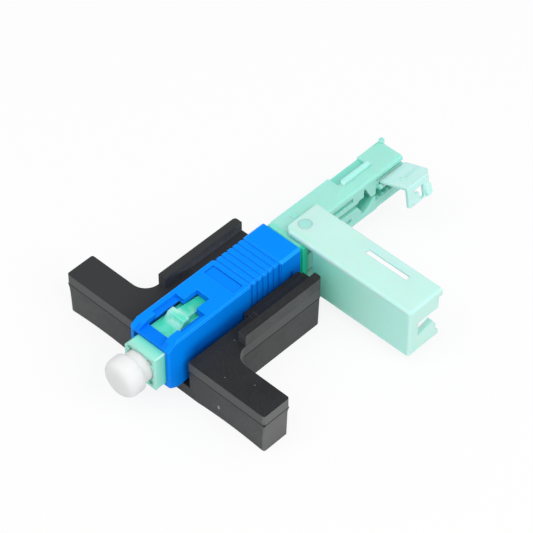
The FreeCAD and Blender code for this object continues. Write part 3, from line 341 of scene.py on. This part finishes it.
# painted shade on the recess floor just left of the rib
rib_shade = fall(mint_x, -1.6, -1.55) * band(mint_y, 39.05, 45.05) * ramp(mint_z, 2.9, 3.0)
mint_plastic.tint(rib_shade * fall(mint_z, 3.2, 3.4) * 0.7, (0.20, 0.70, 0.58))
# the rounded edges are paler, a painted highlight; round the collar they take its painted shade
mint_edge = moulded("mint_body_edge", (0.42, 0.82, 0.74), roughness=0.40,
                    grain_depth=0.002, **milky)
mint_edge.tint(fall(mint_edge.axis("Y"), 27.2, 27.6), (0.16, 0.80, 0.58))

# %% Inner frame, in painted shade inside the grip, with streaks at random
clearer = {"grain_mm": 0.30, "haze": 0.5, "gloss": 0.35}
# a deeper copy of the mint: painted shade for the frame's place inside the grip
deep_plastic = moulded("deep_frame_plastic", (0.12, 0.74, 0.56), roughness=0.38,
                       grain_depth=0.005, **clearer)
deep_y = deep_plastic.axis("Y")
deep_z = deep_plastic.axis("Z")
# streaks at random; on the frame's upper faces they are paler, painted light, and between them its
# lower faces are deeper, painted shade
streaks = ramp(deep_plastic.noise(1.9, detail=1.5), 0.40, 0.58)
deep_plastic.tint(streaks * ramp(deep_z, 3.1, 3.5) * 0.9, (0.44, 0.86, 0.75))
deep_plastic.tint((1.0 - streaks) * fall(deep_z, 3.2, 4.1) * ramp(deep_y, 1.5, 2.5) * 0.6,
                  (0.01, 0.66, 0.36))
# painted shade deep inside the grip, towards the back of the frame
deep_plastic.tint(ramp(deep_y, 6.0, 8.5) * 0.85, (0.0, 0.60, 0.34))
# the nose in front of the grip goes back to a paler mint, without the painted shade
deep_plastic.tint(fall(deep_y, -2.2, 0.2), (0.44, 0.84, 0.72))
# the rounded edges are paler, a painted highlight
deep_edge = moulded("deep_frame_edge", (0.50, 0.88, 0.78), roughness=0.38,
                    grain_depth=0.002, **clearer)

# %% Lid, with shade in the corner round its raised arrow
lid_plastic = moulded("clear_lid_plastic", (0.59, 0.89, 0.83), roughness=0.42,
                      grain_depth=0.005, **milky)
lid_x, lid_y, lid_z = lid_plastic.axes()
axis_x, axis_z, plate_lean = 1.55, 1.42, 0.349
up_plate = (lid_x - axis_x) * math.cos(plate_lean) + (lid_z - axis_z) * math.sin(plate_lean)
arrow_place, arrow_tip = 2.87, 46.15
off_arrow = (up_plate - arrow_place).size()
shaft_shade = band(off_arrow, 0.19, 0.26, 0.03) * band(lid_y, 46.85, 49.4)
head_shade = band(off_arrow - (lid_y - arrow_tip), 0.04, 0.14, 0.03) * band(lid_y, arrow_tip, 46.8)
lid_plastic.tint((shaft_shade + head_shade).clamped() * 0.7, (0.26, 0.72, 0.62))
# the lid's rounded edges are paler, a painted highlight
lid_edge = moulded("clear_lid_edge", (0.66, 0.93, 0.88), roughness=0.40,
                   grain_depth=0.002, **milky)

# %% Lever, the body's plastic coloured paler, with painted shade and light on its front wall
pale_plastic = moulded("pale_lever_plastic", (0.56, 0.83, 0.77), roughness=0.44,
                       grain_depth=0.005, **milky)
pale_x, pale_y, pale_z = pale_plastic.axes()
# painted shade: the front wall is a deeper green near the grip; painted light makes it paler
# towards the outer end
wall_face = fall(pale_y, 26.95, 27.25) * fall(pale_z, 3.6, 4.0)
pale_plastic.tint(wall_face * fall(pale_x, 3.0, 20.0) * 0.8, (0.14, 0.84, 0.62))
pale_plastic.tint(wall_face * ramp(pale_x, 6.0, 20.0) * 0.6, (0.50, 0.97, 0.88))
# painted over the blue light reflected from the grip, so the lever's end beside it stays green
beside_grip = fall(pale_x, 1.0, 7.0) * fall(pale_y, 27.6, 28.2)
pale_plastic.tint(beside_grip * 0.5, (0.44, 0.84, 0.67))
# the rounded edges are a little paler, a painted highlight
pale_edge = moulded("pale_lever_edge", (0.57, 0.85, 0.79), roughness=0.42,
                    grain_depth=0.002, **milky)

# %% Milky cap and splice plastic
splice_plastic = moulded("splice_plastic", (0.70, 0.70, 0.66), roughness=0.45, grain_mm=0.25,
                         grain_depth=0.008)
cap_plastic = moulded("milky_cap_plastic", (0.93, 0.96, 0.965), roughness=0.55, grain_mm=0.5,
                      grain_depth=0.004, cloud=0.015, gloss=0.2)
cap_plastic.set(Subsurface_Weight=0.8, Subsurface_Scale=1.4 * MM,
                Subsurface_Radius=(0.9, 1.0, 1.0), Transmission_Weight=0.15, IOR=1.45)

# %% [markdown]
# ## The black tool
# The tool is filled with black, matt and a little dusty. Black plastic is easily made too dark:
# then its gloss is all that the eye sees, and grain and seams are lost. So the base colour is a
# dark grey and the gloss is low. The dust is a Voronoi texture, which cuts space into cells: a
# few cells are chosen by their random colour, and only the middle of each shows as a speck. The
# parting line where the mould's halves met is laid last as a thin line of painted shade, over
# the faces and the edges alike. Painted light and shade fall on the tool too: its tops are darker,
# the ends of its wings paler, and its front paler above the parting line and darker below it.

# %% Black tool plastic
dust_cell_mm = 1.3
dust_colour = (0.32, 0.33, 0.33)


def black(name, colour, roughness, gloss):
    """Black filled plastic, unevenly matt, with a few pale specks of dust."""
    finish = moulded(name, colour, roughness, grain_mm=0.22, grain_depth=0.022, cloud=0.30,
                     gloss=gloss)
    speckle = ramp(finish.noise(0.30, detail=3.0), 0.48, 0.70)
    finish.tint(speckle * 0.45, tuple(part * 1.8 for part in colour))
    blotch = ramp(finish.noise(2.4, detail=4.0), 0.46, 0.66)
    finish.tint(blotch * 0.35, tuple(part * 0.6 for part in colour))
    cells = {"Vector": finish.place, "Scale": 1.0 / (dust_cell_mm * MM)}
    nearness = 1.0 - finish.add("ShaderNodeTexVoronoi", None, cells, out="Distance")
    lot = finish.add("ShaderNodeTexVoronoi", None, cells, out="Color")
    chosen = finish.add("ShaderNodeSeparateColor", None, {"Color": lot}, out="Red").above(0.80)
    finish.tint(nearness.above(0.93) * chosen * 0.5, dust_colour)
    return finish


tool_plastic = black("black_tool_plastic", (0.070, 0.072, 0.073), roughness=0.46, gloss=0.12)
tool_x, tool_y, tool_z = tool_plastic.axes()
# painted light: a paler band on the faces above the parting line
tool_plastic.tint(band(tool_z, -1.15, 0.45) * 0.8, (0.094, 0.096, 0.097))
# painted shade below the parting line, darkest in the middle under the plug
tool_plastic.tint(fall(tool_z, -1.6, -1.4) * fall(tool_x.size(), 4.0, 17.0) * 0.6,
                  (0.034, 0.036, 0.037))
mark_x = (tool_x - 10.29) * (1.0 / 0.22)
mark_z = (tool_z + 4.35) * (1.0 / 0.42)
pale_mark = fall(mark_x * mark_x + mark_z * mark_z, 0.6, 1.1) * fall(tool_y, 3.0, 3.2)
tool_plastic.tint(pale_mark * 0.8, (0.34, 0.35, 0.35))
# painted light on the ends of the wings
tool_plastic.tint(ramp(tool_x, 18.5, 18.8) * 0.8, (0.150, 0.150, 0.150))
# the faces that look up take a darker copy, painted shade, which is lighter towards the left
tool_top = black("black_tool_top", (0.024, 0.025, 0.026), roughness=0.50, gloss=0.12)
tool_top.tint(fall(tool_top.axis("X"), -9.0, 2.0) * 0.8, (0.042, 0.044, 0.046))
# the rounded edges are paler, partly wear and partly a painted highlight; near the parting line
# they are darkened to keep its painted shade
tool_edge = black("black_tool_edge", (0.120, 0.123, 0.125), roughness=0.40, gloss=0.25)
tool_edge.tint(band(tool_edge.axis("Z"), -1.6, -1.0, 0.1), (0.066, 0.068, 0.069))

# %% The tool's parting line, painted as a thin line of shade
line_low, line_high, line_soft = -1.42, -1.16, 0.04
for finish in (tool_plastic, tool_top, tool_edge):
    parting_shade = band(finish.axis("Z"), line_low, line_high, line_soft)
    finish.tint(parting_shade, (0.002, 0.002, 0.002))
print("parting line is", round(line_high - line_low, 2), "mm wide")

# %% [markdown]
# ## The parts inside
# The ferrule, its metal flange, the coil and the splice are nearly hidden, yet they show when
# the cap is pulled or the tool comes away, so each has its own finish too. Drawn and turned
# metal has fine lines along one direction. A noise that is stretched on one axis gives them.

# %% Ceramic, metals and glass
ceramic = moulded("ferrule_ceramic", (0.86, 0.85, 0.80), roughness=0.14, grain_mm=0.6,
                  grain_depth=0.002, cloud=0.01)


def drawn_metal(name, colour, roughness, line_mm):
    finish = Finish(name)
    stretched = finish.add("ShaderNodeMapping", None,
                           {"Vector": finish.place, "Scale": (1.0, 0.08, 1.0)}, out="Vector")
    lines = finish.add("ShaderNodeTexNoise", None,
                       {"Vector": stretched, "Scale": 1.0 / (line_mm * MM), "Detail": 4.0},
                       out="Fac")
    finish.set(Metallic=1.0,
               Base_Color=finish.blend(lines, tone(colour, 0.85), tone(colour, 1.08)),
               Roughness=(lines * 0.16 + (roughness - 0.08)).clamped())
    return finish


flange_metal = drawn_metal("turned_flange_metal", (0.72, 0.70, 0.66), roughness=0.30, line_mm=0.08)
spring_steel = drawn_metal("spring_steel", (0.60, 0.60, 0.61), roughness=0.28, line_mm=0.05)
fibre_glass = Finish("fibre_glass")
fibre_glass.set(Base_Color=(0.92, 0.95, 0.97, 1.0), Roughness=0.06, Transmission_Weight=0.8,
                IOR=1.46)

# %% [markdown]
# ## Softened edges
# The solids have perfectly sharp edges, and nothing moulded does: a real edge is rounded by a
# few hundredths of a millimetre and catches a thin line of light. Each visible solid is copied,
# its loose triangles are merged into whole faces, and a Bevel modifier rounds the edges that
# point outwards. Those get a paler finish, a painted highlight that on the tool is wear as well;
# rounding an inside corner would add plastic where the lid and the lever have to pass.
#
# A face with a hole in it can come out of the bevel with the hole closed over, so such faces
# are split first. The lid and the lever are left unsplit: the splits spoiled the lid's raised
# arrow and pushed the end of the lever a little past its solid.
#
# The copy then stands for the solid, which stays hidden underneath for the physics.

# %% Round the edges of a piece
MAIN_FACES, EDGE_FACES, TOP_FACES = 0, 1, 2
sharp_angle = math.radians(32)
smooth_angle = math.radians(38)


def rounded(piece, width_mm, steps, wanted=None):
    """Round the outward edges, or only the wanted ones. An inside corner stays as it is."""
    shape = bmesh.new()
    shape.from_mesh(piece.data)
    layer = shape.edges.layers.float.get("bevel_weight_edge")
    layer = layer or shape.edges.layers.float.new("bevel_weight_edge")
    count = 0
    for edge in shape.edges:
        outward = edge.is_manifold and edge.is_convex and edge.calc_face_angle(0.0) > sharp_angle
        if outward and wanted:
            outward = wanted(*[vertex.co / MM for vertex in edge.verts])
        edge[layer] = 1.0 if outward else 0.0
        count += bool(outward)
    shape.to_mesh(piece.data)
    shape.free()
    bevel = piece.modifiers.new("edge", "BEVEL")
    bevel.material = EDGE_FACES
    bevel.width = width_mm * MM
    bevel.segments = steps
    bevel.limit_method = "WEIGHT"
    bevel.miter_outer = "MITER_ARC"
    bpy.ops.object.modifier_apply(modifier="edge")
    print(piece.name, "has", count, "edges rounded by", width_mm, "mm")


# %% Make a softened copy of a solid
merge_distance = 0.001 * MM
flat_angle = math.radians(0.5)
faces_up = 0.9


def softened(node, body, finish, edge_finish, width_mm, tops=None, chosen=None,
             corners=None, split=True):
    """A rounded copy of one solid, standing for it and riding on its body.

    tops is a finish for the faces that look up. chosen is a rule for faces that take the edge
    finish as well. corners is a wider rounding and a rule for the edges that get it first.
    """
    piece = bpy.data.objects.new(node + "_dressed", nodes[node].data.copy())
    bpy.context.scene.collection.objects.link(piece)
    only(piece)
    bpy.ops.object.mode_set(mode="EDIT")
    bpy.ops.mesh.select_all(action="SELECT")
    bpy.ops.mesh.remove_doubles(threshold=merge_distance)
    bpy.ops.mesh.dissolve_limited(angle_limit=flat_angle)
    if split:
        bpy.ops.mesh.vert_connect_concave()
    bpy.ops.object.mode_set(mode="OBJECT")
    piece.data.materials.clear()
    for coat in (finish, edge_finish, tops or finish):
        piece.data.materials.append(coat.material)
    for face in piece.data.polygons:
        face.material_index = TOP_FACES if tops and face.normal.z > faces_up else MAIN_FACES
        if chosen and chosen(face):
            face.material_index = EDGE_FACES
    if corners:
        rounded(piece, corners[0], steps=5, wanted=corners[1])
    rounded(piece, width_mm, steps=2)
    bpy.ops.object.shade_smooth_by_angle(angle=smooth_angle)
    level = piece.modifiers.new("level", "WEIGHTED_NORMAL")
    level.mode = "FACE_AREA"
    level.weight = 100
    level.keep_sharp = True
    bpy.ops.object.modifier_apply(modifier="level")
    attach(piece, body)
    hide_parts(node)
    print(node, "has", len(piece.data.polygons), "faces")


# %% [markdown]
# ## Choosing faces and edges by a rule
# Some places are rounder or paler than the rest: the ends of the tool's wings, the lever's
# outer corners, the frame's nose and the slopes at the back of the grip. By hand they would be
# clicked one by one. Here a short rule says where they are, so they are found again whenever
# the solid changes. A rule for an edge gets its two ends in mm.

# %% Rules for the rounder and paler places
long_edge = 1.0
wing_end = 18.5
nose_side, nose_top = 2.9, 2.95
lever_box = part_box("locking_lever")
lever_limits = [(0, lever_box[1][0] / MM), (1, lever_box[0][1] / MM), (2, lever_box[0][2] / MM),
                (2, lever_box[1][2] / MM)]


def rear_chamfer(face):
    """The sloping faces along the back of the grip, which take the edge finish's painted
    highlight.
    """
    slopes = 0.4 < abs(face.normal.x) < 0.9 and 0.4 < abs(face.normal.z) < 0.9
    return slopes and face.center.y > 22.0 * MM


def wing_corner(a, b):
    """An upright edge at the end of a wing."""
    return min(abs(a.x), abs(b.x)) > wing_end and abs(a.z - b.z) > long_edge


def lever_corner(a, b):
    """An edge where two of the lever's outermost faces meet."""
    return sum(abs(a[i] - at) < 0.02 and abs(b[i] - at) < 0.02 for i, at in lever_limits) == 2


def nose_corner(a, b):
    """An outer edge along the part of the frame that stands out of the grip."""
    outside = min(abs(a.x), abs(b.x)) > nose_side and min(abs(a.z), abs(b.z)) > nose_top
    return outside and abs(a.y - b.y) > long_edge


# %% Soften the visible pieces
softened("opening_tool", "tool", tool_plastic, tool_edge, width_mm=0.12,
         tops=tool_top, corners=(0.35, wing_corner))
softened("grip_housing", "grip", blue_plastic, blue_edge, width_mm=0.07,
         chosen=rear_chamfer)
softened("plug_frame", "connector", deep_plastic, deep_edge, width_mm=0.07,
         corners=(0.2, nose_corner))
softened("tail_body", "connector", mint_plastic, mint_edge, width_mm=0.05)
softened("holder_lid", "lid", lid_plastic, lid_edge, width_mm=0.05, split=False)
softened("locking_lever", "lever", pale_plastic, pale_edge, width_mm=0.1,
         corners=(0.42, lever_corner), split=False)

# %% [markdown]
# ## The soft cap
# The real cap is a little bulb on a stem that fills the frame's mouth. Its whole shape is round
# about one axis, so half of its outline is drawn as a few edges and spun once round the plug.
# The bore that slips over the ferrule is part of the same outline. There is no primitive for a
# single point, so a tiny plane is merged to one, and the outline is extruded from it.
#
# Spin lists the faces it makes in another order at each run. The shape is the same, but an
# exported file would differ, so the faces are put in a fixed order at the end.

# %% Spin the cap
# Each pair is a place along the plug and a distance from its middle, in mm.
cap_outline = [(-5.0, 0.0), (-5.0, 1.31), (0.6, 1.31), (0.6, 2.26), (0.45, 2.4), (-3.3, 2.4),
               (-3.42, 2.5), (-3.48, 2.7), (-3.56, 2.88), (-3.72, 2.96), (-4.0, 2.99),
               (-4.5, 3.0), (-5.1, 2.98), (-5.5, 2.88), (-5.85, 2.68), (-6.1, 2.36),
               (-6.25, 1.9), (-6.33, 1.2), (-6.35, 0.0)]
bpy.ops.object.select_all(action="DESELECT")
bpy.ops.mesh.primitive_plane_add(size=MM)
cap = bpy.context.object
cap.name = "dust_cap_dressed"
bpy.ops.object.mode_set(mode="EDIT")
bpy.ops.mesh.select_all(action="SELECT")
bpy.ops.mesh.merge(type="CENTER")
place = (0.0, 0.0)
for corner in cap_outline:
    step = (0.0, (corner[0] - place[0]) * MM, (corner[1] - place[1]) * MM)
    if corner == cap_outline[0]:
        bpy.ops.transform.translate(value=step)
    else:
        bpy.ops.mesh.extrude_vertices_move(TRANSFORM_OT_translate={"value": step})
    place = corner
bpy.ops.mesh.select_all(action="SELECT")
bpy.ops.mesh.spin(steps=72, angle=math.tau, center=(0.0, 0.0, 0.0), axis=(0.0, 1.0, 0.0))
bpy.ops.mesh.select_all(action="SELECT")
bpy.ops.mesh.remove_doubles(threshold=merge_distance)
bpy.ops.mesh.normals_make_consistent(inside=False)
bpy.ops.object.mode_set(mode="OBJECT")
points = [vertex.co.copy() for vertex in cap.data.vertices]
rings = [list(face.vertices) for face in cap.data.polygons]
rings = sorted(ring[ring.index(min(ring)):] + ring[:ring.index(min(ring))] for ring in rings)
cap.data.clear_geometry()
cap.data.from_pydata(points, [], rings)
bpy.ops.object.shade_smooth_by_angle(angle=smooth_angle)
cap.data.materials.append(cap_plastic.material)
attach(cap, "cap")
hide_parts("dust_cap")
print("cap has", len(cap.data.polygons), "faces")

# %% Finish the solids that stay as they are
inner_finishes = {"ferrule": ceramic, "ferrule_flange": flange_metal,
                  "ferrule_spring": spring_steel, "clamp_sleeve": spring_steel,
                  "fibre_stub": fibre_glass, "splice_base": splice_plastic,
                  "splice_cover_front": splice_plastic, "splice_cover_rear": splice_plastic,
                  "fibre_guide": splice_plastic}
for node, finish in inner_finishes.items():
    if nodes[node].material_slots:
        nodes[node].material_slots[0].material = finish.material
    else:
        nodes[node].data.materials.append(finish.material)
print("solids kept as they are:", len(inner_finishes))

# %% [markdown]
# ## The table and the light
# The photograph has a plain white ground and soft light from all round, a little stronger from
# the side where the lever swings out. The floor is pale and keeps the shadow; for camera rays
# some plain white is mixed in, so that the ground reads white without more light on the part.
# It lies a hair below the tool, because two faces in one plane would flicker.

# %% Floor
floor_drop = 0.02 * MM
plain_white = 0.86
bpy.ops.object.select_all(action="DESELECT")
bpy.ops.mesh.primitive_plane_add(size=4.0, location=(0.0, 0.0, cad_box[0][2] - floor_drop))
floor = bpy.context.object
floor.name = "floor"
ground = Finish("pale_ground")
ground.set(Base_Color=(0.86, 0.86, 0.86, 1.0), Roughness=0.9)
seen = ground.add("ShaderNodeLightPath", out="Is Camera Ray")
mirrored = ground.add("ShaderNodeLightPath", out="Is Glossy Ray")
through = ground.add("ShaderNodeLightPath", out="Is Transmission Ray")
white = ground.add("ShaderNodeEmission", None, {"Color": (1.0, 1.0, 1.0, 1.0), "Strength": 1.0})
share = ((seen + mirrored + through) * plain_white).clamped()
mixed = ground.add("ShaderNodeMixShader", None,
                   {0: share, 1: Wire(ground.shader.outputs[0]), 2: white})
ground.feed(ground.tree.nodes["Material Output"].inputs["Surface"], mixed)
floor.data.materials.append(ground.material)

# %% World and lamps
room_light = 0.58
seen_extra = 0.42
world = bpy.data.worlds.new("soft_room")
bpy.context.scene.world = world
world.use_nodes = True
sky = world.node_tree.nodes["Background"]
sky.inputs["Color"].default_value = (1.0, 1.0, 1.0, 1.0)
path = world.node_tree.nodes.new("ShaderNodeLightPath")
room = Wire(path.outputs["Is Camera Ray"]) * seen_extra + room_light
world.node_tree.links.new(room.socket, sky.inputs["Strength"])


def soft_lamp(name, spot, size, power):
    """A square lamp that looks at the plug."""
    light = bpy.data.lights.new(name, "AREA")
    light.shape = "SQUARE"
    light.size = size
    light.energy = power
    lamp = bpy.data.objects.new(name, light)
    bpy.context.scene.collection.objects.link(lamp)
    lamp.location = spot
    lamp.rotation_euler = (Vector(spot) - aim).to_track_quat("Z", "Y").to_euler()
    print(name, "gives", power, "W")


soft_lamp("side_lamp", spot=(0.33, 0.02, 0.32), size=0.30, power=0.83)
soft_lamp("front_lamp", spot=(-0.02, -0.20, 0.48), size=0.40, power=0.97)
bpy.context.scene.view_settings.view_transform = "Standard"
